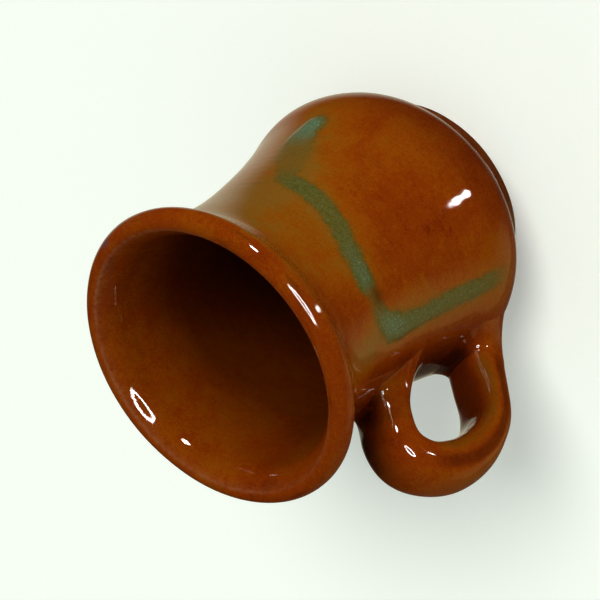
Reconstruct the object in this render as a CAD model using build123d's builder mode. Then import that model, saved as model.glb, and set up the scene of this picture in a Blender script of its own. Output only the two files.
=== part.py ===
# Small earthenware mug with a belly, a narrow neck, a flared lip and one strap
# handle. Millimetres, +Z up. The origin is the middle of the foot's underside,
# the face the mug stands on. The handle points towards -X.
import os

from build123d import *

os.makedirs("parts", exist_ok=True)

# ---------------------------------------------------------------- dimensions
foot_radius = 35.7        # edge of the foot disc
foot_height = 4.6         # thickness of the foot disc
foot_groove_radius = 34.6  # where the foot disc meets the belly
foot_edge_round = 1.0     # rounded lower edge of the foot
floor_top = 8.6           # clay floor inside, above the table
lip_radius = 44.65        # outermost point of the lip
lip_height = 108.4        # highest point of the lip
belly_radius = 46.0       # widest point of the belly
neck_radius = 37.25       # narrowest point of the neck, outside
lining_thickness = 0.4    # fired glaze inside
trail_thickness = 0.35    # raised green glaze outside
trail_width = 4.6

# Outside of the wall, from the foot up to the lip's outermost point (r, z).
outer_wall = [
    (foot_groove_radius, foot_height),
    (36.6, 6.9),
    (39.6, 9.6),
    (42.2, 12.4),
    (44.1, 15.6),
    (45.2, 18.6),
    (45.85, 21.9),
    (belly_radius, 24.6),
    (45.6, 28.0),
    (44.0, 33.4),
    (41.7, 42.1),
    (39.9, 50.9),
    (38.7, 59.0),
    (37.8, 66.8),
    (37.35, 73.0),
    (neck_radius, 79.0),
    (37.6, 85.0),
    (38.4, 91.0),
    (39.4, 95.2),
    (40.5, 97.9),
    (41.6, 99.55),
    (42.8, 100.75),
    (43.85, 101.95),
    (44.45, 103.15),
    (lip_radius, 104.3),
]
# Over the rounded lip, from its outermost point to the inside edge.
lip_top = [
    (lip_radius, 104.3),
    (44.55, 105.25),
    (44.2, 106.3),
    (43.6, 107.25),
    (43.05, 107.8),
    (42.3, 108.2),
    (41.35, lip_height),
    (40.3, 108.2),
    (39.35, 107.55),
]
# Inside face of the clay, from the lip down to the flat middle of the floor.
inner_wall = [
    (39.35, 107.55),
    (38.9, 107.0),
    (38.4, 106.25),
    (37.3, 104.3),
    (36.1, 101.3),
    (35.0, 97.7),
    (34.0, 93.7),
    (33.25, 87.0),
    (33.0, 79.0),
    (33.1, 73.0),
    (33.6, 66.0),
    (34.5, 59.0),
    (35.7, 51.0),
    (37.4, 42.5),
    (39.5, 34.0),
    (40.8, 28.5),
    (41.1, 24.0),
    (40.2, 19.0),
    (38.9, 16.2),
    (37.0, 13.8),
    (34.4, 11.8),
    (31.2, 10.3),
    (27.8, 9.4),
    (24.6, 8.9),
    (21.8, 8.68),
    (19.4, floor_top),
]


def beside(edge, distance, count):
    """Points evenly along an edge of the profile, moved square to it, to its
    right, by distance."""
    result = []
    for i in range(count):
        point, along = edge @ (i / (count - 1)), edge % (i / (count - 1))
        result.append((point.X + distance * along.Y, point.Y - distance * along.X))
    return result


# ---------------------------------------------------------------- thrown wall
# Floor, belly, neck and lip, thrown in one piece and open at the top.
with BuildPart() as vessel_wall:
    with BuildSketch(Plane.XZ):
        with BuildLine():
            Line((0, foot_height), (foot_groove_radius, foot_height))
            Spline(*outer_wall)
            Spline(*lip_top)
            Spline(*inner_wall)
            Line(inner_wall[-1], (0, floor_top))
            Line((0, floor_top), (0, foot_height))
        make_face()
    revolve(axis=Axis.Z)
vessel_wall.part.label = "vessel_wall"

# ---------------------------------------------------------------- foot disc
# Flat pad of clay under the belly. Its lower edge is rounded by the sponge, and
# a shallow groove runs where it meets the belly.
with BuildPart() as foot_disc:
    with BuildSketch(Plane.XZ):
        with BuildLine():
            Line((0, 0), (foot_radius - foot_edge_round, 0))
            RadiusArc(
                (foot_radius - foot_edge_round, 0), (foot_radius, foot_edge_round), -foot_edge_round
            )
            Line((foot_radius, foot_edge_round), (foot_radius - 0.1, foot_height - 1.1))
            Line((foot_radius - 0.1, foot_height - 1.1), (foot_groove_radius, foot_height))
            Line((foot_groove_radius, foot_height), (0, foot_height))
            Line((0, foot_height), (0, 0))
        make_face()
    revolve(axis=Axis.Z)
foot_disc.part.label = "foot_disc"

# ---------------------------------------------------------------- glaze lining
# The clay is porous, so a fired glaze lines the inside from lip to floor.
with BuildPart() as glaze_lining:
    with BuildSketch(Plane.XZ):
        with BuildLine():
            clay_face = Spline(*inner_wall)
            glaze_points = beside(clay_face, lining_thickness, 49)
            Line(inner_wall[-1], (0, floor_top))
            Line((0, floor_top), (0, floor_top + lining_thickness))
            Line((0, floor_top + lining_thickness), glaze_points[-1])
            Spline(*glaze_points)
            Line(glaze_points[0], inner_wall[0])
        make_face()
    revolve(axis=Axis.Z)
glaze_lining.part.label = "glaze_lining"

# ---------------------------------------------------------------- envelope
# The mug's wall as a filled solid: what is joined on outside stops at its face.
with BuildPart() as envelope:
    with BuildSketch(Plane.XZ):
        with BuildLine():
            Line((0, foot_height), (foot_groove_radius, foot_height))
            Spline(*outer_wall)
            Line(outer_wall[-1], (0, outer_wall[-1][1]))
            Line((0, outer_wall[-1][1]), (0, foot_height))
        make_face()
    revolve(axis=Axis.Z)

# ---------------------------------------------------------------- handle strap
# Stations along the pulled strap: distance from the mug's axis, height, half
# of the thickness in the loop's plane, half of the width across it.
strap_stations = [
    (32.6, 65.6, 7.4, 9.8),
    (37.3, 69.8, 6.5, 9.7),
    (42.1, 74.1, 5.9, 9.6),
    (46.9, 78.3, 5.9, 9.6),
    (53.6, 80.4, 6.15, 9.6),
    (59.5, 77.9, 6.4, 9.6),
    (64.0, 72.2, 6.6, 9.5),
    (66.4, 65.9, 6.6, 9.5),
    (67.2, 59.6, 6.35, 9.5),
    (66.4, 52.4, 5.85, 9.5),
    (64.1, 46.0, 5.6, 9.5),
    (59.9, 40.5, 5.75, 9.5),
    (54.8, 35.9, 6.4, 9.4),
    (49.9, 31.3, 7.3, 9.4),
    (45.3, 26.2, 8.2, 9.4),
    (41.2, 21.2, 8.8, 9.4),
]


def station_plane(stations, i):
    """Plane square to the strap's middle line at station i."""
    r0, z0 = stations[max(i - 1, 0)][:2]
    r1, z1 = stations[min(i + 1, len(stations) - 1)][:2]
    r, z = stations[i][:2]
    return Plane(origin=(-r, 0, z), x_dir=(0, 1, 0), z_dir=(-(r1 - r0), 0, z1 - z0))


with BuildPart() as handle_strap:
    for i, (_, _, half_thickness, half_width) in enumerate(strap_stations):
        with BuildSketch(station_plane(strap_stations, i)):
            Ellipse(half_width, half_thickness)
    loft()
    add(envelope.part, mode=Mode.SUBTRACT)
handle_strap.part.label = "handle_strap"

# ---------------------------------------------------------------- luted joints
# Soft clay and slip pressed round each end of the strap and smoothed out over
# the wall. Each joint is a flared collar between the wall and the strap.
# Sections are upright and face the wall: distance from the axis, height, half of
# the height and half of the width.
upper_collar = [
    (35.6, 68.6, 16.4, 15.4),
    (38.2, 70.6, 13.6, 13.0),
    (41.6, 73.4, 10.8, 11.2),
    (45.6, 77.0, 8.7, 10.2),
]
lower_collar = [
    (41.4, 26.6, 14.2, 17.0),
    (44.4, 27.9, 12.1, 13.8),
    (47.6, 30.2, 10.9, 11.4),
    (51.0, 32.9, 10.0, 10.2),
]
with BuildPart() as upper_joint:
    for r, z, half_height, half_width in upper_collar:
        with BuildSketch(Plane(origin=(-r, 0, z), x_dir=(0, 1, 0), z_dir=(-1, 0, 0))):
            Ellipse(half_width, half_height)
    loft()
    add(envelope.part, mode=Mode.SUBTRACT)
    add(handle_strap.part, mode=Mode.SUBTRACT)
upper_joint.part.label = "upper_joint"

with BuildPart() as lower_joint:
    for r, z, half_height, half_width in lower_collar:
        with BuildSketch(Plane(origin=(-r, 0, z), x_dir=(0, 1, 0), z_dir=(-1, 0, 0))):
            Ellipse(half_width, half_height)
    loft()
    add(envelope.part, mode=Mode.SUBTRACT)
    add(handle_strap.part, mode=Mode.SUBTRACT)
lower_joint.part.label = "lower_joint"

# ---------------------------------------------------------------- green trails
# Coloured glaze trailed over the shoulder, with a leg running down the belly at
# each end of the trail. It stands a little proud of the wall.
# Middle lines as seen square to the mug's side (x, z).
front_trail_line = [
    (-36.1, 26.6),
    (-35.0, 32.6),
    (-32.3, 43.7),
    (-30.0, 56.3),
    (-28.2, 68.0),
    (-25.2, 74.4),
    (-19.0, 76.9),
    (-12.0, 77.0),
    (-4.0, 74.6),
    (6.0, 69.6),
    (15.0, 66.2),
    (22.4, 63.6),
    (28.6, 55.0),
    (32.2, 46.0),
    (32.6, 38.6),
]
back_trail_line = [
    (34.0, 30.5),
    (31.8, 42.0),
    (29.0, 55.0),
    (26.0, 66.6),
    (20.4, 73.0),
    (11.0, 75.4),
    (1.0, 73.6),
    (-8.0, 69.4),
    (-16.0, 67.6),
    (-22.4, 62.6),
    (-25.4, 53.0),
    (-27.4, 43.6),
]

with BuildPart() as glaze_skin:
    with BuildSketch(Plane.XZ):
        with BuildLine():
            wall_face = Spline(*outer_wall)
            skin_points = beside(wall_face, trail_thickness, 61)
            Line(outer_wall[-1], skin_points[-1])
            Spline(*skin_points)
            Line(skin_points[0], outer_wall[0])
        make_face()
    revolve(axis=Axis.Z)

with BuildPart() as green_trail_front:
    with BuildSketch(Plane.XZ):
        with BuildLine():
            Spline(*front_trail_line)
        trace(line_width=trail_width)
    extrude(amount=60)
    add(glaze_skin.part, mode=Mode.INTERSECT)
green_trail_front.part.label = "green_trail_front"

with BuildPart() as green_trail_back:
    with BuildSketch(Plane.XZ):
        with BuildLine():
            Spline(*back_trail_line)
        trace(line_width=trail_width)
    extrude(amount=-60)
    add(glaze_skin.part, mode=Mode.INTERSECT)
green_trail_back.part.label = "green_trail_back"

# ---------------------------------------------------------------- write out
pieces = {
    "vessel_wall": vessel_wall,
    "foot_disc": foot_disc,
    "glaze_lining": glaze_lining,
    "handle_strap": handle_strap,
    "upper_joint": upper_joint,
    "lower_joint": lower_joint,
    "green_trail_front": green_trail_front,
    "green_trail_back": green_trail_back,
}
for name, piece in pieces.items():
    export_step(piece.part, f"parts/{name}.step")
    print(name, len(piece.part.solids()), round(piece.part.volume, 1), piece.part.bounding_box())
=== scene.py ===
import math

import bpy
import numpy as np
from mathutils import Matrix, Vector


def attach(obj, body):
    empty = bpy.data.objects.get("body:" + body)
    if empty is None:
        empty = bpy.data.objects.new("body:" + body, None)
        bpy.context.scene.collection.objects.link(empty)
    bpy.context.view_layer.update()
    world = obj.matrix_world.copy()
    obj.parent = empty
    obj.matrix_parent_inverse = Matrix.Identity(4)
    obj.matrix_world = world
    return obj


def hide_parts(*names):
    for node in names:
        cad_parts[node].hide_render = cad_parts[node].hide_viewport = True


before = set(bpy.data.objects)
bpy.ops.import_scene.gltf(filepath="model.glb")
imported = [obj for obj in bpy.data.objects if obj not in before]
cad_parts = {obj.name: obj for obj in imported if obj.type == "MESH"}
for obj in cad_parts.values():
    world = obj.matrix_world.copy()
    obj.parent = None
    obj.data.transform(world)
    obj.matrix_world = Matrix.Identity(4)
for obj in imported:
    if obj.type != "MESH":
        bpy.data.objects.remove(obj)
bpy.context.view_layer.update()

MM = 0.001
TAU = 2 * math.pi
scene = bpy.context.scene
scene.view_settings.view_transform = "Standard"
scene.view_settings.look = "None"

# ------------------------------------------------------------------ numbers
# The wall's outline as (distance from the axis, height) in millimetres, within
# half a millimetre of the line that the construction turns.
OUTER = [
    (34.6, 4.6), (36.6, 6.9), (39.6, 9.6), (42.2, 12.4), (44.1, 15.6), (45.2, 18.6),
    (45.85, 21.9), (46.0, 24.6), (45.6, 28.0), (44.0, 33.4), (41.7, 42.1), (39.9, 50.9),
    (38.7, 59.0), (37.8, 66.8), (37.35, 73.0), (37.25, 79.0), (37.6, 85.0), (38.3, 90.8),
    (39.3, 95.0), (40.25, 97.2), (41.3, 98.9), (42.4, 100.4), (43.4, 101.7), (44.2, 102.85),
    (44.55, 103.6), (44.65, 104.3),
]
LIP = [
    (44.65, 104.3), (44.55, 105.25), (44.2, 106.3), (43.6, 107.25), (43.05, 107.8),
    (42.3, 108.2), (41.35, 108.4), (40.3, 108.2), (39.35, 107.55),
]
INNER = [
    (39.35, 107.55), (38.9, 107.0), (38.4, 106.25), (37.3, 104.3), (36.1, 101.3), (35.0, 97.7), (34.0, 93.7), (33.25, 87.0), (33.0, 79.0),
    (33.1, 73.0), (33.6, 66.0), (34.5, 59.0), (35.7, 51.0), (37.4, 42.5), (39.5, 34.0),
    (40.8, 28.5), (41.1, 24.0), (40.2, 19.0), (38.9, 16.2), (37.0, 13.8), (34.4, 11.8),
    (31.2, 10.3), (27.8, 9.4), (24.6, 8.9), (21.8, 8.68), (19.4, 8.6),
]
# The pulled strap: distance from the axis, height, half thickness, half width.
STRAP = [
    (37.3, 69.8, 6.5, 9.7), (42.1, 74.1, 5.9, 9.6), (46.9, 78.3, 5.9, 9.6),
    (53.6, 80.4, 6.15, 9.6), (59.5, 77.9, 6.4, 9.6), (64.0, 72.2, 6.6, 9.5),
    (66.4, 65.9, 6.6, 9.5), (67.2, 59.6, 6.35, 9.5), (66.4, 52.4, 5.85, 9.5),
    (64.1, 46.0, 5.6, 9.5), (59.9, 40.5, 5.75, 9.5), (54.8, 35.9, 6.4, 9.4),
    (49.9, 31.3, 7.3, 9.4), (45.3, 26.2, 8.2, 9.4), (41.2, 21.2, 8.8, 9.4),
]
# Middle lines of the green trails as seen square to the mug's side: x, z, half
# width, strength of the colour, share of milky crystals.
FRONT_TRAIL = [
    (-36.1, 25.6, 2.2, 0.15, 0.0), (-35.2, 31.0, 2.7, 0.7, 0.0), (-32.5, 42.7, 2.8, 0.9, 0.05),
    (-30.2, 55.3, 2.8, 0.95, 0.10), (-28.4, 67.0, 3.3, 1.0, 0.25), (-26.6, 73.2, 4.0, 1.0, 0.50),
    (-23.6, 76.2, 3.2, 0.8, 0.25), (-20.2, 76.9, 2.4, 0.50, 0.0), (-17.2, 77.2, 2.3, 0.46, 0.0),
    (-14.6, 77.4, 3.2, 0.95, 0.3), (-11.0, 77.0, 3.3, 1.0, 0.35), (-4.0, 75.1, 3.1, 0.95, 0.1),
    (6.0, 71.0, 2.9, 0.9, 0.0), (14.0, 68.5, 3.0, 0.95, 0.0), (19.6, 67.3, 2.9, 1.0, 0.0), (23.0, 66.2, 2.6, 0.8, 0.0),
    (25.4, 60.8, 3.6, 0.34, 0.0), (28.2, 55.0, 5.0, 0.34, 0.0), (31.2, 47.6, 5.2, 0.5, 0.2),
    (32.6, 41.4, 4.2, 0.95, 0.8), (32.8, 38.4, 3.8, 1.0, 0.9),
]
BACK_TRAIL = [
    (34.0, 30.5, 2.6, 0.9, 0.4), (31.8, 42.0, 2.8, 0.9, 0.2), (29.0, 55.0, 3.0, 0.8, 0.1),
    (26.0, 66.6, 3.2, 0.9, 0.3), (20.4, 73.0, 3.3, 1.0, 0.5), (11.0, 75.4, 2.9, 0.9, 0.3),
    (1.0, 73.6, 2.8, 0.8, 0.2), (-8.0, 69.4, 2.8, 0.9, 0.35), (-16.0, 67.6, 3.0, 1.0, 0.5),
    (-22.4, 62.6, 2.8, 0.8, 0.2), (-25.4, 53.0, 2.6, 0.7, 0.1), (-27.4, 43.6, 2.6, 0.7, 0.4),
]


# ------------------------------------------------------------------ geometry helpers
def spline(points, count, closed_tail=0):
    """count rows along a natural cubic through points, evenly by length."""
    p = np.array(points, float)
    t = np.r_[0, np.cumsum(np.linalg.norm(np.diff(p[:, :2], axis=0), axis=1))]
    n = len(p)
    h = np.diff(t)
    a = np.zeros((n, n))
    b = np.zeros((n, p.shape[1]))
    a[0, 0] = a[-1, -1] = 1
    for i in range(1, n - 1):
        a[i, i - 1], a[i, i], a[i, i + 1] = h[i - 1], 2 * (h[i - 1] + h[i]), h[i]
        b[i] = 3 * ((p[i + 1] - p[i]) / h[i] - (p[i] - p[i - 1]) / h[i - 1])
    c = np.linalg.solve(a, b)

    def at(s):
        s = np.clip(s, 0, t[-1])
        i = np.clip(np.searchsorted(t, s, side="right") - 1, 0, n - 2)
        u = (s - t[i])[:, None]
        d = (c[i + 1] - c[i]) / (3 * h[i][:, None])
        f = (p[i + 1] - p[i]) / h[i][:, None] - h[i][:, None] * (2 * c[i] + c[i + 1]) / 3
        return p[i] + f * u + c[i] * u**2 + d * u**3

    fine = at(np.linspace(0, t[-1], 4000))
    length = np.r_[0, np.cumsum(np.linalg.norm(np.diff(fine[:, :2], axis=0), axis=1))]
    where = np.interp(np.linspace(0, length[-1], count), length, np.linspace(0, t[-1], 4000))
    return at(where)


def smooth(x, lo, hi):
    t = np.clip((x - lo) / (hi - lo), 0, 1)
    return t * t * (3 - 2 * t)


def waves(seed, terms, *axes):
    """Smooth noise from a few sines. terms is [(amplitude, frequencies)]."""
    rng = np.random.RandomState(seed)
    total = 0
    for amplitude, freqs in terms:
        total = total + amplitude * np.sin(
            sum(f * a for f, a in zip(freqs, axes)) + rng.uniform(0, TAU)
        )
    return total


def make_mesh(name, verts, quads, tris=(), shade=True):
    mesh = bpy.data.meshes.new(name)
    quads = np.asarray(quads, np.int32).reshape(-1, 4)
    tris = np.asarray(tris, np.int32).reshape(-1, 3)
    verts = np.asarray(verts, np.float32)
    mesh.vertices.add(len(verts))
    mesh.vertices.foreach_set("co", (verts * MM).ravel())
    loops = np.r_[quads.ravel(), tris.ravel()]
    mesh.loops.add(len(loops))
    mesh.loops.foreach_set("vertex_index", loops)
    starts = np.r_[np.arange(len(quads)) * 4, len(quads) * 4 + np.arange(len(tris)) * 3]
    mesh.polygons.add(len(quads) + len(tris))
    mesh.polygons.foreach_set("loop_start", starts.astype(np.int32))
    mesh.update(calc_edges=True)
    mesh.validate()
    mesh.polygons.foreach_set("use_smooth", np.full(len(mesh.polygons), shade))
    obj = bpy.data.objects.new(name, mesh)
    scene.collection.objects.link(obj)
    return obj


def attribute(obj, name, values):
    made = obj.data.attributes.new(name, "FLOAT", "POINT")
    made.data.foreach_set("value", np.asarray(values, np.float32).ravel())


def ring_quads(rows, around, start=0, flip=False):
    i, j = np.meshgrid(np.arange(rows - 1), np.arange(around), indexing="ij")
    k = (j + 1) % around
    a, b, c, d = (start + x for x in (i * around + j, i * around + k, (i + 1) * around + k, (i + 1) * around + j))
    q = np.stack([a, d, c, b] if flip else [a, b, c, d], -1).reshape(-1, 4)
    return q


outer_line = spline(OUTER, 700)
outer_r = lambda z: np.interp(z, outer_line[:, 1], outer_line[:, 0])


# ------------------------------------------------------------------ vessel
AROUND = 352
rows_outer = spline(OUTER, 150)
rows_lip = spline(LIP, 30)[1:]
inner_line = spline(INNER, 96)
along = np.gradient(inner_line, axis=0)
along /= np.linalg.norm(along, axis=1)[:, None]
ramp = smooth(np.arange(96), 0, 5)[:, None]
rows_inner = (inner_line + 0.4 * ramp * np.c_[along[:, 1], -along[:, 0]])[1:]
floor_rows = np.array([(r, 9.0) for r in (16.0, 12.0, 8.0, 4.5, 2.0, 0.7)])
under_rows = np.array([(r, 4.62) for r in (0.7, 12.0, 24.0, 33.9)])
profile = np.vstack([rows_outer, rows_lip, rows_inner, floor_rows])
n_outer, n_lip = len(rows_outer), len(rows_lip)
tangent = np.gradient(profile, axis=0)
tangent /= np.linalg.norm(tangent, axis=1)[:, None]
normal = np.c_[tangent[:, 1], -tangent[:, 0]]

phi = np.arange(AROUND) / AROUND * TAU          # from +X towards +Y
P, Z = np.meshgrid(phi, profile[:, 1])
row = np.arange(len(profile))[:, None] + 0 * P
R0 = profile[:, 0][:, None] + 0 * P
side = np.where(row < n_outer, 1.0, 0.0)        # outside of the wall
inside = smooth(row, n_outer + n_lip - 4, n_outer + n_lip + 8)
lipness = smooth(Z, 92, 106)

# distance to the trails, on the wall's outside
XS, YS = R0 * np.cos(P), R0 * np.sin(P)


def trail_field(points, sign):
    line = spline(points, 420)
    x, z = line[:, 0], line[:, 1]
    y = sign * np.sqrt(np.maximum(outer_r(z) ** 2 - x**2, 0))
    verts = np.stack([XS[:n_outer], YS[:n_outer], Z[:n_outer]], -1).reshape(-1, 3)
    best = np.full(len(verts), 1e9)
    which = np.zeros(len(verts), int)
    for k in range(len(x)):
        d = (verts[:, 0] - x[k]) ** 2 + (verts[:, 1] - y[k]) ** 2 + (verts[:, 2] - z[k]) ** 2
        closer = d < best
        best[closer] = d[closer]
        which[closer] = k
    shape = (n_outer, AROUND)
    return np.sqrt(best).reshape(shape), [line[which, c].reshape(shape) for c in (2, 3, 4)]


green_d = np.full(Z.shape, 60.0)
green_k = np.zeros(Z.shape)
green_m = np.zeros(Z.shape)
for trail, sign in ((FRONT_TRAIL, -1), (BACK_TRAIL, 1)):
    dist, (half, strength, milk) = trail_field(trail, sign)
    near = dist - half
    take = near < green_d[:n_outer]
    green_d[:n_outer][take] = near[take]
    green_k[:n_outer][take] = strength[take]
    green_m[:n_outer][take] = milk[take]
green_d[n_outer:] = 60.0

lift = np.zeros(Z.shape)
# faint turning rings and the slow unevenness of a hand-thrown wall
lift += side * (
    0.011 * np.sin(TAU * Z / 3.3 + 0.9 * np.sin(P + 1.0) + waves(3, [(0.6, (2, 0.05)), (0.5, (3, -0.08))], P, Z))
    * (0.55 + 0.45 * np.sin(Z / 9.0 + 1.3))
    + 0.10 * waves(4, [(0.5, (2, 0.06)), (0.35, (3, -0.10)), (0.25, (5, 0.16)), (0.2, (7, 0.22))], P, Z)
)
# trimmed bands above the foot
lift += side * 0.07 * (1 - smooth(Z, 9, 20)) * np.sin(TAU * Z / 2.6 + 0.4 * np.sin(2 * P))
# the trails stand a little proud, thickest at their drops
lift += side * 0.17 * smooth(green_k, 0.3, 0.9) * smooth(-green_d, -0.8, 1.2) * (1 + 0.5 * green_m)
# throwing rings inside
deep = (1 - smooth(Z, 96, 106)) * inside
lift += deep * (
    0.022 * np.sin(TAU * (Z + 2.6 * P / TAU) / 5.2)
    + 0.13 * waves(6, [(0.5, (2, 0.07)), (0.4, (3, -0.12)), (0.3, (4, 0.2))], P, Z)
)
lift += lipness * 0.045 * waves(7, [(0.5, (3, 0.2)), (0.5, (5, 0.5)), (0.35, (8, -0.7)), (0.25, (13, 0.9))], P, Z)
rim_wave = lipness * 0.16 * waves(9, [(0.6, (2,)), (0.4, (3,)), (0.2, (5,))], P)
# the lip dips a little away from the front, and is a little wider than deep
rim_wave = rim_wave - lipness * 0.35 * np.sin(P + 0.17)
oval = 0.10 * np.sin(2 * P + 0.6) * smooth(Z, 8, 30) - 0.6 * lipness * np.sin(P + 0.17) ** 2 + 0.12 * lipness

R = R0 + lift * normal[:, 0][:, None] + oval
ZZ = Z + lift * normal[:, 1][:, None] + rim_wave
verts = np.stack([R * np.cos(P) - 0.22 * lipness, R * np.sin(P) - 0.18 * lipness, ZZ], -1).reshape(-1, 3)
rows = len(profile)
quads = [ring_quads(rows, AROUND, flip=False)]
# underside of the wall, which sits on the foot
under = np.stack(
    [under_rows[:, 0][:, None] * np.cos(phi), under_rows[:, 0][:, None] * np.sin(phi), under_rows[:, 1][:, None] + 0 * phi], -1
).reshape(-1, 3)
base = len(verts)
verts = np.vstack([verts, under, [[0, 0, 9.0], [0, 0, 4.62]]])
quads.append(ring_quads(len(under_rows), AROUND, start=base))
last = base + (len(under_rows) - 1) * AROUND
j = np.arange(AROUND)
k = (j + 1) % AROUND
quads.append(np.stack([last + j, last + k, k, j], -1))
top_pole, low_pole = len(verts) - 2, len(verts) - 1
inner_last = (rows - 1) * AROUND
tris = np.vstack(
    [np.stack([inner_last + j, inner_last + k, np.full(AROUND, top_pole)], -1),
     np.stack([base + k, base + j, np.full(AROUND, low_pole)], -1)]
)
vessel = make_mesh("mug_body", verts, np.vstack(quads), tris)
pad = len(verts) - rows * AROUND


def padded_values(grid, fill=0.0):
    return np.r_[grid.ravel(), np.full(pad, fill)]


# Broad colour fields, in millimetres on the mug: + is olive and amber, - is red.
angle = (P - math.radians(270) + math.pi) % TAU - math.pi   # 0 faces -Y, + towards +X


def patch(a0, z0, wide, tall):
    """A soft patch centred at angle a0 (degrees) and height z0."""
    da = (angle - math.radians(a0) + math.pi) % TAU - math.pi
    return np.exp(-((da * 42 / wide) ** 2) - ((Z - z0) / tall) ** 2)


# colour field, partly painted light: the olive patches on the neck away from the handle and beside the handle's roots
# are painted light and a painted reflection of a pale table; the red and dark patches beside and between the handle's
# roots and low on the front are painted shade and a painted reflection of the handle
tone_and_shade = (
    0.34 * patch(40, 84, 26, 24) + 0.24 * patch(50, 52, 22, 28) + 0.10 * patch(58, 84, 16, 26)
    + 0.10 * patch(-2, 86, 16, 9) - 0.08 * patch(-34, 52, 14, 24)
    + 0.34 * patch(-46, 80, 8, 26) + 0.20 * patch(-58, 38, 9, 20) - 0.10 * patch(-30, 88, 10, 12)
    - 0.26 * patch(-67, 78, 9, 30) + 0.05 * patch(4, 78, 34, 20) + 0.05 * patch(10, 92, 30, 6) - 0.13 * patch(8, 14, 70, 10)
    - 0.34 * patch(-84, 52, 12, 30) - 0.2 * patch(-90, 88, 14, 9)
    + 0.25 * patch(150, 84, 30, 20) + 0.2 * patch(-150, 46, 30, 24) - 0.15 * patch(170, 44, 26, 20)
    - 0.3 * patch(-96, 52, 12, 30)
)
# darker glaze, partly pooled glaze and partly painted shade: painted shade in the crease under the lip, on the
# downward-facing underside above the foot, in the nook between the handle's roots and, from the patch at 22 mm, low on
# the front of the belly
crease_shade = np.exp(-(((Z - 100.9 - 0.4 * np.sin(2 * P) - 0.3 * np.sin(5 * P + 1)) / 2.9) ** 2)) * side
crease_shade *= 0.24 + 0.16 * np.sin(P - math.radians(165)) + 0.16 * np.sin(P * 3 + 0.4) + 0.12 * np.sin(P * 7 + 2)
underside_shade = (1 - smooth(Z, 6.0, 11.5)) * side
nook_shade = patch(-86, 48, 12, 14) * side
pool_and_shade = np.clip(0.42 * patch(12, 22, 36, 10) * side + 0.62 * crease_shade + 0.55 * underside_shade * (0.7 + 0.3 * np.sin(4 * P + Z)) + 0.6 * nook_shade, 0, 1)


def cells(seed, rows_wide, around):
    """Soft random streaks along the lip: rows_wide across it, around of them about it."""
    rng = np.random.RandomState(seed)
    table = rng.uniform(-1, 1, (rows_wide + 2, around))
    u = np.clip((row - (n_outer - 14)) / 50.0, 0, 0.999) * rows_wide
    v = P / TAU * around
    i, jj = u.astype(int), v.astype(int) % around
    fu, fv_ = smooth(u - i, 0, 1), smooth(v - np.floor(v), 0, 1)
    j2 = (jj + 1) % around
    return (
        table[i, jj] * (1 - fu) * (1 - fv_) + table[i + 1, jj] * fu * (1 - fv_)
        + table[i, j2] * (1 - fu) * fv_ + table[i + 1, j2] * fu * fv_
    )


lip_zone = smooth(row, n_outer - 12, n_outer - 4) * (1 - smooth(row, n_outer + n_lip + 10, n_outer + n_lip + 26))
streaks = cells(11, 14, 26) * 0.6 + cells(12, 26, 60) * 0.4
tone_and_shade = tone_and_shade + lip_zone * (0.30 * streaks + 0.04)
pool_and_shade = np.clip(pool_and_shade + lip_zone * (1 - smooth(row, n_outer + n_lip - 4, n_outer + n_lip + 5)) * 0.42 * smooth(streaks, 0.32, 0.8), 0, 1)
# two small firing marks on the lip
da = (angle - math.radians(86) + math.pi) % TAU - math.pi
pool_and_shade = np.clip(pool_and_shade + 0.95 * np.exp(-((da * 44 / 1.9) ** 2) - ((row - (n_outer + 1)) / 5.0) ** 2), 0, 1)
# a dark clot where the trail broke
db = (angle - math.radians(-30)) % TAU
db = np.minimum(db, TAU - db)
pool_and_shade = np.clip(pool_and_shade + 0.6 * side * np.exp(-((db * 38 / 3.2) ** 2) - ((Z - 75.3) / 1.9) ** 2), 0, 1)
scar = 0.9 * np.exp(-(((da + 0.015) * 42 / 1.6) ** 2) - ((row - (n_outer + 13)) / 3.4) ** 2)
# the glaze is thin and pale along the lip's inner edge
edge = np.exp(-(((row - (n_outer + n_lip - 3)) / 2.0) ** 2)) * (0.65 + 0.35 * np.sin(P + 0.9) + 0.15 * np.sin(6 * P))
halo = np.exp(-np.maximum(green_d, 0) / 3.4) * (0.35 + 0.65 * green_k) * side
halo_up = np.where(side > 0, np.exp(-((np.maximum(green_d, 0)) / 6.5) ** 1.3), 0)
attribute(vessel, "trail_gap", padded_values(green_d, 60.0))
attribute(vessel, "trail_strength", padded_values(green_k))
attribute(vessel, "trail_milk", padded_values(green_m))
attribute(vessel, "tone_and_shade", padded_values(tone_and_shade * side + 0.05 * inside))
attribute(vessel, "halo", padded_values(0.6 * halo + 0.4 * halo_up))
# painted shade inside: the inner wall darkens below the flare, and the dark reaches higher on one side
dl = (angle + math.radians(108) + math.pi) % TAU - math.pi
deep_shade = 1 - smooth(Z - 10.0 * np.exp(-((dl / 0.62) ** 2)) + 0.6 * np.sin(3 * P) + 0.5 * np.sin(7 * P + 1), 92.0, 98.0)
# lower down, a painted cast shadow of the lip makes the inside nearly black, up to a slanting edge
shadow_edge_height = 106 - 27 * np.maximum(np.cos(angle + math.radians(172)), 0.0)
cast_shadow = smooth(shadow_edge_height - Z + 1.2 * np.sin(5 * P) + 0.7 * np.sin(9 * P + 2), -3.0, 5.5)
attribute(vessel, "inside", padded_values(inside * (0.22 + 0.42 * deep_shade + 0.25 * cast_shadow) * (1 - 0.8 * lip_zone * (1 - 0.8 * np.exp(-((dl / 0.62) ** 2)) * smooth(row, n_outer + n_lip, n_outer + n_lip + 7)))))
attribute(vessel, "pool_and_shade", padded_values(pool_and_shade))
attribute(vessel, "edge", padded_values(edge))
attribute(vessel, "scar", padded_values(scar))

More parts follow.
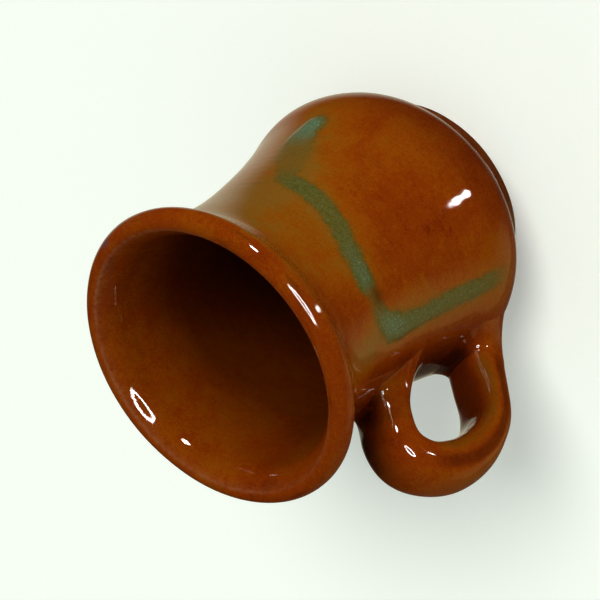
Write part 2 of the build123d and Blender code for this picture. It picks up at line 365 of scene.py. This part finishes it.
# ------------------------------------------------------------------ handle
SIDES = 120
theta = np.arange(SIDES) / SIDES * TAU          # 0 away from the hole, 90 towards +Y
strap = spline(STRAP, 420)
keep = (strap[:, 0] > 0)
centre = np.c_[-strap[:, 0], np.zeros(len(strap)), strap[:, 1]]
run = np.gradient(centre, axis=0)
run /= np.linalg.norm(run, axis=1)[:, None]
out = np.cross(run, np.array([0, 1.0, 0]))
ref = np.array([-52.0, 0, 60.0])
out *= np.sign(((centre - ref) * out).sum(1))[:, None]
step = np.r_[0, np.cumsum(np.linalg.norm(np.diff(centre, axis=0), axis=1))]


def section(i):
    """One ring of the strap: round outside, flatter with soft edges inside."""
    t, w = strap[i, 2], strap[i, 3]
    c, s = np.cos(theta), np.sin(theta)
    outer_side = c >= 0
    n = np.where(outer_side, 2.15, 2.9)
    reach = np.where(outer_side, 1.12 * t, 0.88 * t)
    nn = reach * np.sign(c) * np.abs(c) ** (2 / n) - 0.12 * t
    yy = w * np.sign(s) * np.abs(s) ** (2 / n)
    # a thumb has pressed the near edge: a shallow hollow beside a low ridge
    z, rho = strap[i, 1], strap[i, 0]
    shown = float(smooth(np.array(rho), 54.0, 61.0) * (1 - smooth(np.array(z), 71.0, 79.0)))
    if z < 50:
        shown = float(smooth(np.array(rho), 46.0, 54.0))
    deg = (np.degrees(theta) + 180) % 360 - 180
    press = shown * (0.42 * np.exp(-(((deg + 72) / 14) ** 2)) - 0.10 * np.exp(-(((deg + 93) / 6.0) ** 2)))
    yy = yy + press
    return nn, yy


first = int(np.argmax(strap[:, 0] > 46.4))
lastring = len(strap) - 1 - int(np.argmax(strap[::-1, 0] > 50.4))
picked = np.unique(np.round(np.linspace(first, lastring, 190)).astype(int))
rings = []
for i in picked:
    nn, yy = section(i)
    a = step[i]
    nn = nn + 0.10 * np.sin(theta * 2 + a * 0.09 + 1) + 0.07 * np.sin(theta * 3 - a * 0.15) + 0.05 * np.sin(a * 0.55 + 2 * np.sin(theta))
    yy = yy * (1 + 0.006 * np.sin(a * 0.11 + 0.5) + 0.004 * np.sin(a * 0.23 + theta))
    rings.append(centre[i] + nn[:, None] * out[i] + yy[:, None] * np.array([0, 1.0, 0]))


def periodic(knots, count):
    """Smooth closed curve (y, z) through knots given as (degrees, y, z)."""
    k = sorted(((a % 360), y, z) for a, y, z in knots)
    a = np.radians([q[0] for q in k])
    v = np.array([q[1:] for q in k], float)
    a3 = np.r_[a - TAU, a, a + TAU]
    v3 = np.vstack([v, v, v])
    m = np.gradient(v3, a3, axis=0)
    t = np.arange(count) / count * TAU
    i = np.searchsorted(a3, t, side="right") - 1
    h = (a3[i + 1] - a3[i])[:, None]
    u = ((t - a3[i]) / (a3[i + 1] - a3[i]))[:, None]
    return (
        (2 * u**3 - 3 * u**2 + 1) * v3[i] + (u**3 - 2 * u**2 + u) * h * m[i]
        + (-2 * u**3 + 3 * u**2) * v3[i + 1] + (u**3 - u**2) * h * m[i + 1]
    )


UPPER_FOOT = [
    (0, 0, 76.6), (22, 5.2, 76.8), (42, 8.4, 76.4), (62, 10.0, 74.9), (90, 11.2, 71.0), (115, 12.6, 66.4),
    (135, 13.6, 61.4), (150, 13.8, 57.4), (165, 9.4, 53.4), (180, 0, 51.2),
    (-22, -5.4, 77.2), (-42, -9.0, 77.4), (-62, -11.0, 76.0), (-90, -12.2, 71.8), (-115, -13.2, 66.4),
    (-135, -14.8, 61.2), (-150, -16.4, 57.0), (-165, -11.0, 53.2),
]
LOWER_FOOT = [
    (0, 0, 13.8), (30, 9.0, 15.4), (60, 14.6, 19.8), (90, 16.6, 26.6), (120, 14.6, 34.4), (150, 8.8, 40.6), (180, 0, 42.6),
    (-30, -9.4, 15.2), (-60, -15.4, 19.8), (-90, -17.8, 26.6), (-120, -15.6, 34.4), (-150, -9.2, 40.8),
]


def wall_point(y, z, depth):
    r = outer_r(z) - depth
    return np.stack([-np.sqrt(np.maximum(r**2 - y**2, 1)), y, z], -1)


def flare(ring, toward, foot_knots, pull0, pull1, count, seed, creases):
    """Rings from the strap's end to its smoothed-out edge on the wall."""
    yz = periodic(foot_knots, SIDES)
    end = wall_point(yz[:, 0], yz[:, 1], 0.30)
    middle = end.mean(0)
    away = end - middle
    radial = end * np.array([1, 1, 0])
    radial /= np.linalg.norm(radial, axis=1)[:, None]
    slope = (outer_r(end[:, 2] + 0.5) - outer_r(end[:, 2] - 0.5))
    face = radial - np.array([0, 0, 1.0]) * slope[:, None]
    face /= np.linalg.norm(face, axis=1)[:, None]
    tangent = away - (away * face).sum(1)[:, None] * face
    tangent /= np.linalg.norm(tangent, axis=1)[:, None]
    tangent = tangent - 0.10 * face
    span = np.linalg.norm(end - ring, axis=1)[:, None]
    result = []
    for u in np.linspace(0, 1, count)[1:]:
        p = (
            (2 * u**3 - 3 * u**2 + 1) * ring + (u**3 - 2 * u**2 + u) * pull0 * span * toward
            + (-2 * u**3 + 3 * u**2) * end + (u**3 - u**2) * pull1 * span * tangent
        )
        # fingers have dragged the soft clay out over the wall
        drag = 0.11 * smooth(u, 0.35, 0.75) * (1 - smooth(u, 0.9, 1.0))
        ridges = np.sin(7 * theta + seed + 1.5 * u) * 0.5 + np.sin(11 * theta + 2 * seed - 2 * u) * 0.4 + np.sin(5 * theta + seed + 6 * u) * 0.5
        # creases where the last of the slip was drawn down
        deg = (np.degrees(theta) + 180) % 360 - 180
        pull = math.exp(-(((u - 0.66) / 0.20) ** 2))
        crease = sum(
            size * np.exp(-(((deg - at - 9 * (u - 0.6)) / wide) ** 2))
            for size, at, wide in ((-0.34, -139, 3.4), (0.24, -131, 4.2), (-0.26, -122, 3.0), (0.18, -148, 4.0))
        )
        result.append(p + (drag * ridges + creases * pull * crease)[:, None] * face)
    # a last ring and a cap under the wall's surface close the piece
    inner = middle + (end - middle) * 0.9
    r = np.hypot(inner[:, 0], inner[:, 1])
    want = outer_r(inner[:, 2]) - 1.6
    inner[:, 0] *= want / r
    inner[:, 1] *= want / r
    result.append(inner)
    for share in (0.66, 0.42, 0.2, 0.05):
        q = middle + (end - middle) * share
        r = np.hypot(q[:, 0], q[:, 1])
        want = outer_r(q[:, 2]) - 1.7
        q[:, 0] *= want / r
        q[:, 1] *= want / r
        result.append(q)
    return result


upper = flare(rings[0], -run[picked[0]], UPPER_FOOT, 0.95, 0.95, 40, 1.0, 1.0)
lower = flare(rings[-1], run[picked[-1]], LOWER_FOOT, 1.0, 1.0, 34, 2.2, 0.35)
all_rings = upper[::-1] + rings + lower
hv = np.vstack(all_rings)
hq = ring_quads(len(all_rings), SIDES)
p0, p1 = len(hv), len(hv) + 1
hv = np.vstack([hv, all_rings[0].mean(0), all_rings[-1].mean(0)])
j = np.arange(SIDES)
k = (j + 1) % SIDES
tail = (len(all_rings) - 1) * SIDES
ht = np.vstack([np.stack([k, j, np.full(SIDES, p0)], -1), np.stack([tail + j, tail + k, np.full(SIDES, p1)], -1)])
# faces point outward
a, b, c = hv[hq[:, 0]], hv[hq[:, 1]], hv[hq[:, 2]]
mid = len(hq) // 2
if np.dot(np.cross(b[mid] - a[mid], c[mid] - a[mid]), a[mid] - (np.array(all_rings[len(all_rings) // 2]).mean(0))) < 0:
    hq = hq[:, ::-1]
    ht = ht[:, ::-1]
handle = make_mesh("handle", hv, hq, ht)
edge_line = np.abs(np.sin(theta))
deg = (np.degrees(theta) + 180) % 360 - 180
# The handle's colour fields are partly painted light: painted shade on the faces towards the hole, in the thumb
# hollow, on the top next to the neck and round both roots, and lighter on the loop's outward face where light falls.
hand_tone_and_shade, hand_pool_and_shade = [], []
for n, ring in enumerate(all_rings):
    x, y, z = ring[:, 0], ring[:, 1], ring[:, 2]
    mx, mz = ring.mean(0)[0], ring.mean(0)[2]
    rooted = n < len(upper)                       # the upper joint
    landed = n >= len(upper) + len(rings)         # the lower joint
    low_arm = smooth(np.array(-mx), 46.0, 54.0) * (1 - smooth(np.array(mz), 48.0, 60.0))
    loop = smooth(np.array(-mx), 52.0, 60.0) * (1 - smooth(np.array(mz), 72.0, 81.0))
    near = max(float(low_arm) if not landed else 0.3, float(loop))
    hollow = np.exp(-(((deg + 73) / 15) ** 4)) * near
    inner_band = np.exp(-(((deg + 120) / 26) ** 4)) * near
    hole_side = np.exp(-(((np.abs(deg) - 180) / 46) ** 2))
    top_back = smooth(np.array(z.mean()), 66.0, 74.0) * (1 - smooth(np.array(-mx), 50.0, 61.0))
    # painted shade on the strap's top next to the neck
    top_shade = np.exp(-(((deg - 26) / 46) ** 2)) * top_back
    tone_and_shade_row = -0.12 * hollow + 0.30 * inner_band - 0.35 * hole_side * (1 - near * 0.3) + 0.22 * np.exp(-(((deg + 22) / 40) ** 2)) * float(loop)
    pool_and_shade_row = 0.52 * hollow + 0.36 * inner_band + 1.0 * top_shade + 0.5 * hole_side * (float(low_arm) + 0.3 * float(loop))
    if landed:
        tone_and_shade_row = tone_and_shade_row - 0.25 * hole_side
        pool_and_shade_row = pool_and_shade_row + 0.55 * hole_side
    if rooted:
        pool_and_shade_row = pool_and_shade_row + 0.25 * hole_side + 0.25 * np.exp(-(((deg + 30) / 30) ** 2)) + 0.16 * np.exp(-(((deg + 85) / 30) ** 2))
    hand_tone_and_shade.append(tone_and_shade_row)
    hand_pool_and_shade.append(np.clip(pool_and_shade_row, 0, 1))
attribute(handle, "tone_and_shade", np.r_[np.array(hand_tone_and_shade).ravel(), 0, 0])
attribute(handle, "pool_and_shade", np.r_[np.array(hand_pool_and_shade).ravel(), 0, 0])

# ------------------------------------------------------------------ foot
foot_rows = [(0.6, 0.16)]
for r in np.arange(2.0, 33.6, 0.55):
    groove = 0.10 + 0.06 * math.sin(TAU * r / 2.3) + 0.05 * math.sin(TAU * r / 0.9 + 1)
    foot_rows.append((r, groove * (1 - float(smooth(np.array(r), 29.5, 33.0))) + 0.004))
foot_rows += [(34.2, 0.0), (34.7, 0.0)]
foot_rows += [(34.7 + math.sin(a), 1.0 - math.cos(a)) for a in np.radians([15, 30, 45, 60, 75, 90])]
foot_rows += [(35.68, 1.6), (35.66, 2.2), (35.64, 2.8), (35.6, 3.4), (35.35, 3.8), (35.0, 4.2), (34.6, 4.58), (34.0, 4.6), (20.0, 4.6), (6.0, 4.6), (0.6, 4.6)]
foot_rows = np.array(foot_rows)
FA = 256
fp = np.arange(FA) / FA * TAU
FP, FZ = np.meshgrid(fp, foot_rows[:, 1])
FR = foot_rows[:, 0][:, None] + 0 * FP
onside = smooth(FR, 34.0, 35.5)
FR = FR + onside * (0.10 * np.sin(2 * FP + 0.6) + 0.05 * np.sin(5 * FP + 1) + 0.03 * np.sin(11 * FP + FZ * 2))
under_side = (np.arange(len(foot_rows)) < 62)[:, None]
FZ = FZ + np.where(under_side & (FR < 33), 0.03 * (1 + np.sin(FP * 1 + FR * 1.1)), 0)
fv = np.stack([FR * np.cos(FP), FR * np.sin(FP), np.maximum(FZ, 0)], -1).reshape(-1, 3)
fv = np.vstack([fv, [[0, 0, 0.16], [0, 0, 4.6]]])
fq = ring_quads(len(foot_rows), FA)
j = np.arange(FA)
k = (j + 1) % FA
tail = (len(foot_rows) - 1) * FA
ft = np.vstack([np.stack([k, j, np.full(FA, len(fv) - 2)], -1), np.stack([tail + j, tail + k, np.full(FA, len(fv) - 1)], -1)])
foot = make_mesh("foot", fv, fq, ft)


# ------------------------------------------------------------------ materials
class Tree:
    """A little shorthand for building a node tree."""

    def __init__(self, owner):
        self.nodes, self.links = owner.node_tree.nodes, owner.node_tree.links
        self.nodes.clear()

    def add(self, kind, values=None, **settings):
        node = self.nodes.new(kind)
        for key, value in settings.items():
            setattr(node, key, value)
        for key, value in (values or {}).items():
            if isinstance(value, bpy.types.NodeSocket):
                self.links.new(value, node.inputs[key])
            else:
                node.inputs[key].default_value = value
        return node

    def math(self, operation, a, b=0.0, clamp=False):
        return self.add("ShaderNodeMath", {0: a, 1: b}, operation=operation, use_clamp=clamp).outputs[0]

    def noise(self, vector, scale, detail=2.0, rough=0.5, distortion=0.0):
        return self.add("ShaderNodeTexNoise", {"Vector": vector, "Scale": scale, "Detail": detail, "Roughness": rough, "Distortion": distortion}).outputs[0]

    def attribute(self, name):
        return self.add("ShaderNodeAttribute", attribute_name=name).outputs["Fac"]

    def remap(self, value, a, b, c=0.0, d=1.0, how="SMOOTHSTEP"):
        return self.add("ShaderNodeMapRange", {"Value": value, "From Min": a, "From Max": b, "To Min": c, "To Max": d}, interpolation_type=how).outputs[0]

    def mix(self, share, a, b, how="MIX"):
        node = self.add("ShaderNodeMix", data_type="RGBA", blend_type=how)
        for socket, value in ((node.inputs[0], share), (node.inputs[6], a), (node.inputs[7], b)):
            if isinstance(value, bpy.types.NodeSocket):
                self.links.new(value, socket)
            else:
                socket.default_value = value
        return node.outputs[2]

    def ramp(self, value, stops):
        node = self.add("ShaderNodeValToRGB", {0: value})
        ramp = node.color_ramp
        ramp.interpolation = "EASE"
        while len(ramp.elements) > 1:
            ramp.elements.remove(ramp.elements[-1])
        for i, (where, colour) in enumerate(stops):
            e = ramp.elements[0] if i == 0 else ramp.elements.new(where)
            e.position = where
            e.color = (*colour, 1)
        return node.outputs[0]

    def scaled(self, vector, by):
        return self.add("ShaderNodeVectorMath", {0: vector, 1: by}, operation="MULTIPLY").outputs[0]


def material(name):
    made = bpy.data.materials.new(name)
    made.use_nodes = True
    return made, Tree(made)


GLAZE_STOPS = [
    (0.00, (0.060, 0.0055, 0.0004)),
    (0.30, (0.150, 0.0170, 0.0005)),
    (0.50, (0.214, 0.0300, 0.0006)),
    (0.68, (0.245, 0.0490, 0.0009)),
    (0.85, (0.235, 0.0660, 0.0022)),
    (1.00, (0.200, 0.0820, 0.0080)),
]


def glaze(name, base_tone, spread, greens=False, depth=False, rough=0.06):
    mat, t = material(name)
    where = t.scaled(t.add("ShaderNodeTexCoord").outputs["Object"], (1000, 1000, 1000))
    turned = t.scaled(where, (0.10, 0.10, 1.0))
    broad = t.noise(where, 0.045, 3, 0.55, 0.4)
    cloud = t.noise(where, 0.17, 4, 0.6, 0.3)
    mottle = t.noise(where, 0.75, 3, 0.6)
    grain = t.noise(where, 2.6, 2, 0.6)
    streak = t.noise(turned, 0.55, 3, 0.55)
    tone_and_shade = t.math("ADD", t.attribute("tone_and_shade"), base_tone)
    for part, amount in ((broad, 0.55), (cloud, 0.42), (mottle, 0.34), (grain, 0.44), (streak, 0.16)):
        tone_and_shade = t.math("ADD", tone_and_shade, t.math("MULTIPLY", t.math("SUBTRACT", part, 0.5), amount * spread))
    if greens:
        tone_and_shade = t.math("ADD", tone_and_shade, t.math("MULTIPLY", t.attribute("halo"), 0.20))
    colour = t.ramp(tone_and_shade, GLAZE_STOPS)
    # where the glaze has run thick along the turning marks it is darker
    thick = t.remap(streak, 0.52, 0.74)
    colour = t.mix(t.math("MULTIPLY", thick, 0.18), colour, (0.06, 0.010, 0.0008, 1))
    # fine dark and light grain in the glaze
    colour = t.mix(t.math("MULTIPLY", t.remap(grain, 0.50, 0.32), 0.22), colour, (0.055, 0.0085, 0.0006, 1))
    # iron specks
    speck = t.remap(t.noise(where, 1.9, 1, 0.4), 0.715, 0.78)
    colour = t.mix(t.math("MULTIPLY", speck, 0.5), colour, (0.030, 0.006, 0.001, 1))
    roughness = t.math("ADD", t.math("MULTIPLY", mottle, 0.04), rough - 0.02)
    height = t.math("ADD", t.math("MULTIPLY", cloud, 0.55), t.math("MULTIPLY", mottle, 0.22))
    height = t.math("ADD", height, t.math("MULTIPLY", streak, 0.20))
    if greens:
        # the trails sank into the clear glaze: grainy, with ragged edges
        gap = t.math("ADD", t.attribute("trail_gap"), t.math("MULTIPLY", t.math("SUBTRACT", t.noise(where, 0.30, 3, 0.6), 0.5), 2.6))
        gap = t.math("ADD", gap, t.math("MULTIPLY", t.math("SUBTRACT", mottle, 0.5), 2.6))
        gap = t.math("ADD", gap, t.math("MULTIPLY", t.math("SUBTRACT", grain, 0.5), 2.4))
        strength = t.attribute("trail_strength")
        milk = t.attribute("trail_milk")
        body = t.math("MULTIPLY", t.remap(gap, 0.55, -0.65), strength)
        wash = t.math("MULTIPLY", t.remap(gap, 1.9, -0.3), t.math("MULTIPLY", strength, 0.6))
        colour = t.mix(wash, colour, (0.105, 0.056, 0.0060, 1))
        green = t.ramp(
            t.math("ADD", t.math("MULTIPLY", mottle, 0.50), t.math("MULTIPLY", grain, 0.52)),
            [(0.24, (0.040, 0.030, 0.0040)), (0.42, (0.078, 0.066, 0.0090)), (0.58, (0.092, 0.088, 0.0170)), (0.80, (0.116, 0.145, 0.0560))],
        )
        colour = t.mix(body, colour, green)
        core = t.math("MULTIPLY", t.remap(gap, -0.4, -2.6), milk)
        colour = t.mix(t.math("MULTIPLY", core, 0.75), colour, (0.088, 0.170, 0.105, 1))
        flecks = t.noise(where, 2.1, 2, 0.7)
        crystals = t.math("MULTIPLY", t.remap(flecks, 0.57, 0.68), t.math("MULTIPLY", body, t.math("ADD", t.math("MULTIPLY", milk, 0.55), 0.15)))
        colour = t.mix(crystals, colour, (0.28, 0.37, 0.22, 1))
        clots = t.math("MULTIPLY", t.remap(flecks, 0.43, 0.33), t.math("MULTIPLY", body, 0.45))
        colour = t.mix(clots, colour, (0.035, 0.026, 0.0040, 1))
        roughness = t.math("ADD", roughness, t.math("MULTIPLY", body, 0.05))
        height = t.math("ADD", height, t.math("MULTIPLY", t.math("MULTIPLY", grain, body), 0.6))
    # darker where the glaze pooled and where shade is painted, from the pool attribute
    pooled_and_shaded = t.math("MULTIPLY", t.attribute("pool_and_shade"), t.remap(t.math("ADD", cloud, t.math("MULTIPLY", mottle, 0.4)), 0.35, 0.75, 0.6, 1.0))
    colour = t.mix(t.math("MULTIPLY", pooled_and_shaded, 0.88), colour, (0.014, 0.0052, 0.0012, 1))
    if depth:
        # painted shade and painted cast shadow inside the mug, from the inside attribute
        colour = t.mix(t.math("MULTIPLY", t.attribute("inside"), 0.80), colour, (0.052, 0.0080, 0.0004, 1))
        thin = t.math("MULTIPLY", t.attribute("edge"), t.remap(mottle, 0.30, 0.62, 0.15, 0.62))
        colour = t.mix(thin, colour, (0.270, 0.105, 0.045, 1))
        colour = t.mix(t.attribute("scar"), colour, (0.085, 0.052, 0.066, 1))
        height = t.math("SUBTRACT", height, t.math("MULTIPLY", t.attribute("scar"), 1.2))
    bump = t.add("ShaderNodeBump", {"Strength": 0.55, "Distance": 0.00009, "Height": height})
    shader = t.add(
        "ShaderNodeBsdfPrincipled",
        {"Base Color": colour, "Roughness": roughness, "IOR": 1.5, "Specular IOR Level": 0.3, "Normal": bump.outputs[0]},
    )
    t.links.new(shader.outputs[0], t.add("ShaderNodeOutputMaterial").inputs[0])
    return mat


body_glaze = glaze("brown_glaze", 0.54, 1.0, greens=True, depth=True)
handle_glaze = glaze("handle_glaze", 0.52, 1.0)


def foot_material():
    mat, t = material("foot_clay_and_glaze")
    where = t.scaled(t.add("ShaderNodeTexCoord").outputs["Object"], (1000, 1000, 1000))
    cloud = t.noise(where, 0.16, 4, 0.6, 0.4)
    mottle = t.noise(where, 0.8, 3, 0.6)
    grain = t.noise(where, 3.5, 3, 0.7)
    glazed = t.ramp(
        t.math("ADD", t.math("MULTIPLY", cloud, 0.7), t.math("MULTIPLY", mottle, 0.35)),
        [(0.25, (0.055, 0.0070, 0.0008)), (0.5, (0.105, 0.0190, 0.0025)), (0.8, (0.150, 0.0450, 0.0120))],
    )
    clay = t.ramp(
        t.math("ADD", t.math("MULTIPLY", grain, 0.6), t.math("MULTIPLY", cloud, 0.4)),
        [(0.25, (0.250, 0.085, 0.040)), (0.5, (0.370, 0.140, 0.068)), (0.75, (0.470, 0.205, 0.110))],
    )
    z = t.add("ShaderNodeSeparateXYZ", {0: where}).outputs[2]
    x, y = (t.add("ShaderNodeSeparateXYZ", {0: where}).outputs[i] for i in (0, 1))
    r = t.math("SQRT", t.math("ADD", t.math("MULTIPLY", x, x), t.math("MULTIPLY", y, y)))
    edge = t.math("ADD", z, t.math("MULTIPLY", t.math("SUBTRACT", r, 34.9), 1.2))
    edge = t.math("ADD", edge, t.math("MULTIPLY", t.math("SUBTRACT", cloud, 0.5), 1.6))
    cover = t.remap(edge, 0.2, 0.7)
    # the glaze is thin on the sharp upper edge
    sharp = t.math("MULTIPLY", t.remap(z, 3.3, 4.0), t.remap(t.math("ADD", mottle, cloud), 0.75, 1.05, 0.25, 0.8))
    glazed = t.mix(sharp, glazed, (0.310, 0.140, 0.080, 1))
    colour = t.mix(cover, clay, glazed)
    roughness = t.remap(cover, 0.0, 1.0, 0.82, 0.12, how="LINEAR")
    height = t.math("ADD", t.math("MULTIPLY", grain, 0.6), t.math("MULTIPLY", mottle, 0.4))
    bump = t.add("ShaderNodeBump", {"Strength": 0.5, "Distance": 0.00012, "Height": height})
    shader = t.add(
        "ShaderNodeBsdfPrincipled",
        {"Base Color": colour, "Roughness": roughness, "IOR": 1.5, "Specular IOR Level": 0.3, "Normal": bump.outputs[0]},
    )
    t.links.new(shader.outputs[0], t.add("ShaderNodeOutputMaterial").inputs[0])
    return mat


vessel.data.materials.append(body_glaze)
handle.data.materials.append(handle_glaze)
foot.data.materials.append(foot_material())

for piece, slot, nodes in (
    (vessel, "brown_glazed_clay", ("vessel_wall", "glaze_lining", "green_trail_front", "green_trail_back")),
    (handle, "handle_glazed_clay", ("handle_strap", "upper_joint", "lower_joint")),
    (foot, "foot_clay", ("foot_disc",)),
):
    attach(piece, "root")
    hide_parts(*nodes)

# ------------------------------------------------------------------ floor
PALE = (0.875, 0.935, 0.868)
floor_mesh = bpy.data.meshes.new("floor")
floor_mesh.from_pydata([(-4, -4, 0), (4, -4, 0), (4, 4, 0), (-4, 4, 0)], [], [(0, 1, 2, 3)])
floor = bpy.data.objects.new("floor", floor_mesh)
floor.location.z = -0.00002
scene.collection.objects.link(floor)
mat, t = material("pale_floor")
# paper lit from behind as well, so shadows on it stay pale
shader = t.add(
    "ShaderNodeBsdfPrincipled",
    {"Base Color": (*(0.93 * c for c in PALE), 1), "Roughness": 1.0, "Specular IOR Level": 0.0, "Emission Color": (0.922, 0.982, 0.950, 1), "Emission Strength": 0.30},
)
t.links.new(shader.outputs[0], t.add("ShaderNodeOutputMaterial").inputs[0])
floor_mesh.materials.append(mat)
floor.visible_glossy = False

# ------------------------------------------------------------------ light
world = bpy.data.worlds.new("studio")
scene.world = world
world.use_nodes = True
t = Tree(world)
soft = t.add("ShaderNodeBackground", {"Color": (0.922, 0.982, 0.914, 1), "Strength": 0.36})
# What the glaze mirrors: a dark room in front, a dim one behind, the pale table
# low on the right and, tinted by the mug's own colour, low on the left.
direction = t.add("ShaderNodeTexCoord").outputs["Generated"]


def lobe(axis, start, full):
    turn = t.add("ShaderNodeVectorMath", {0: direction, 1: axis}, operation="DOT_PRODUCT").outputs["Value"]
    return t.remap(turn, start, full)


behind = lobe((0.156, -0.985, 0.05), 0.15, -0.45)
room = t.mix(behind, (0.010, 0.008, 0.006, 1), (0.085, 0.062, 0.040, 1))
room = t.mix(lobe((0.36, 0.62, -0.70), 0.80, 0.985), room, (0.60, 0.58, 0.42, 1))
room = t.mix(lobe((0.10, 0.86, 0.50), 0.50, 0.85), room, (0.010, 0.009, 0.007, 1))
# the table on the left ends at an edge
ragged = t.math("MULTIPLY", t.math("SUBTRACT", t.noise(direction, 14.0, 3, 0.6), 0.5), 0.16)
left_side = t.add("ShaderNodeVectorMath", {0: direction, 1: (-0.26, -0.966, 0.0)}, operation="DOT_PRODUCT").outputs["Value"]
left_edge = t.remap(t.math("ADD", left_side, ragged), -0.005, 0.02)
room = t.mix(t.math("MULTIPLY", lobe((-0.80, 0.10, -0.58), 0.80, 0.93), left_edge), room, (0.44, 0.29, 0.12, 1))
mirror = t.add("ShaderNodeBackground", {"Color": room, "Strength": 1.0})
path = t.add("ShaderNodeLightPath").outputs
choose = t.add("ShaderNodeMixShader", {0: path["Is Glossy Ray"], 1: soft.outputs[0], 2: mirror.outputs[0]})
seen = t.add("ShaderNodeBackground", {"Color": (0.922, 0.982, 0.925, 1), "Strength": 0.94})
choose = t.add("ShaderNodeMixShader", {0: path["Is Camera Ray"], 1: choose.outputs[0], 2: seen.outputs[0]})
t.links.new(choose.outputs[0], t.add("ShaderNodeOutputWorld").inputs[0])


def direction_of(azimuth, elevation):
    """Unit vector. Azimuth 0 faces -Y and grows towards +X."""
    a, e = math.radians(azimuth), math.radians(elevation)
    return Vector((math.sin(a) * math.cos(e), -math.cos(a) * math.cos(e), math.sin(e)))


key = bpy.data.objects.new("key", bpy.data.lights.new("key", "SUN"))
key.data.energy = 2.0
key.data.angle = math.radians(28)
key.data.color = (1.0, 0.97, 0.93)
key.rotation_mode = "QUATERNION"
key.rotation_quaternion = (-direction_of(27, 48)).to_track_quat("-Z", "Y")
key.visible_glossy = False
scene.collection.objects.link(key)


def lamp(name, aim, azimuth, elevation, distance, outline, inner, strength, tint=(1.0, 0.98, 0.94)):
    """A lamp seen only as a glint in the glaze: a flat patch, or a frame if inner is given. Sizes in millimetres."""
    to = direction_of(azimuth, elevation)
    at = Vector(aim) + to * distance
    right = to.cross(Vector((0, 0, 1))).normalized()
    up = right.cross(to).normalized()
    n = 48
    ring = [(math.cos(TAU * i / n), math.sin(TAU * i / n)) for i in range(n)]
    pts = [at + right * (x * outline[0] / 2) + up * (y * outline[1] / 2) for x, y in ring]
    if inner:
        pts += [at + right * (x * inner[0] / 2) + up * (y * inner[1] / 2) for x, y in ring]
        faces = [(i, (i + 1) % n, n + (i + 1) % n, n + i) for i in range(n)]
    else:
        faces = [tuple(range(n))]
    mesh = bpy.data.meshes.new(name)
    mesh.from_pydata([p * MM for p in pts], [], faces)
    obj = bpy.data.objects.new(name, mesh)
    scene.collection.objects.link(obj)
    m, t = material(name)
    glow = t.add("ShaderNodeEmission", {"Color": (*tint, 1), "Strength": strength})
    t.links.new(glow.outputs[0], t.add("ShaderNodeOutputMaterial").inputs[0])
    m.cycles.emission_sampling = "NONE"
    mesh.materials.append(m)
    obj.visible_camera = obj.visible_diffuse = obj.visible_shadow = False
    return obj


lamp("ring_lamp", (-8, -42, 107), -15, 33, 620, (310, 215), (246, 140), 90)
lamp("side_lamp", (8, -42, 107), 30, 14, 620, (76, 100), None, 110)
lamp("low_lamp", (-13, -41, 34), -22, -17.2, 420, (32, 38), None, 110)
lamp("low_dot", (-13, -43, 30), -22, -9.5, 420, (20, 8), None, 70)

# ------------------------------------------------------------------ camera
cam = bpy.data.objects.new("camera", bpy.data.cameras.new("camera"))
cam.data.lens = 99.6
cam.data.sensor_width = 36
cam.data.sensor_fit = "HORIZONTAL"
right = Vector((-0.68898056, -0.44768846, -0.56998319))
down = Vector((-0.71452061, 0.55140238, 0.43059925))
ahead = Vector((0.12151577, 0.70393925, -0.69978815))
turn = Matrix((right, -down, -ahead)).transposed().to_4x4()
turn.translation = Vector((-59.21189792, -335.80736019, 399.24497)) * MM
cam.matrix_world = turn
cam.data.clip_start, cam.data.clip_end = 0.01, 50
scene.collection.objects.link(cam)
scene.camera = cam
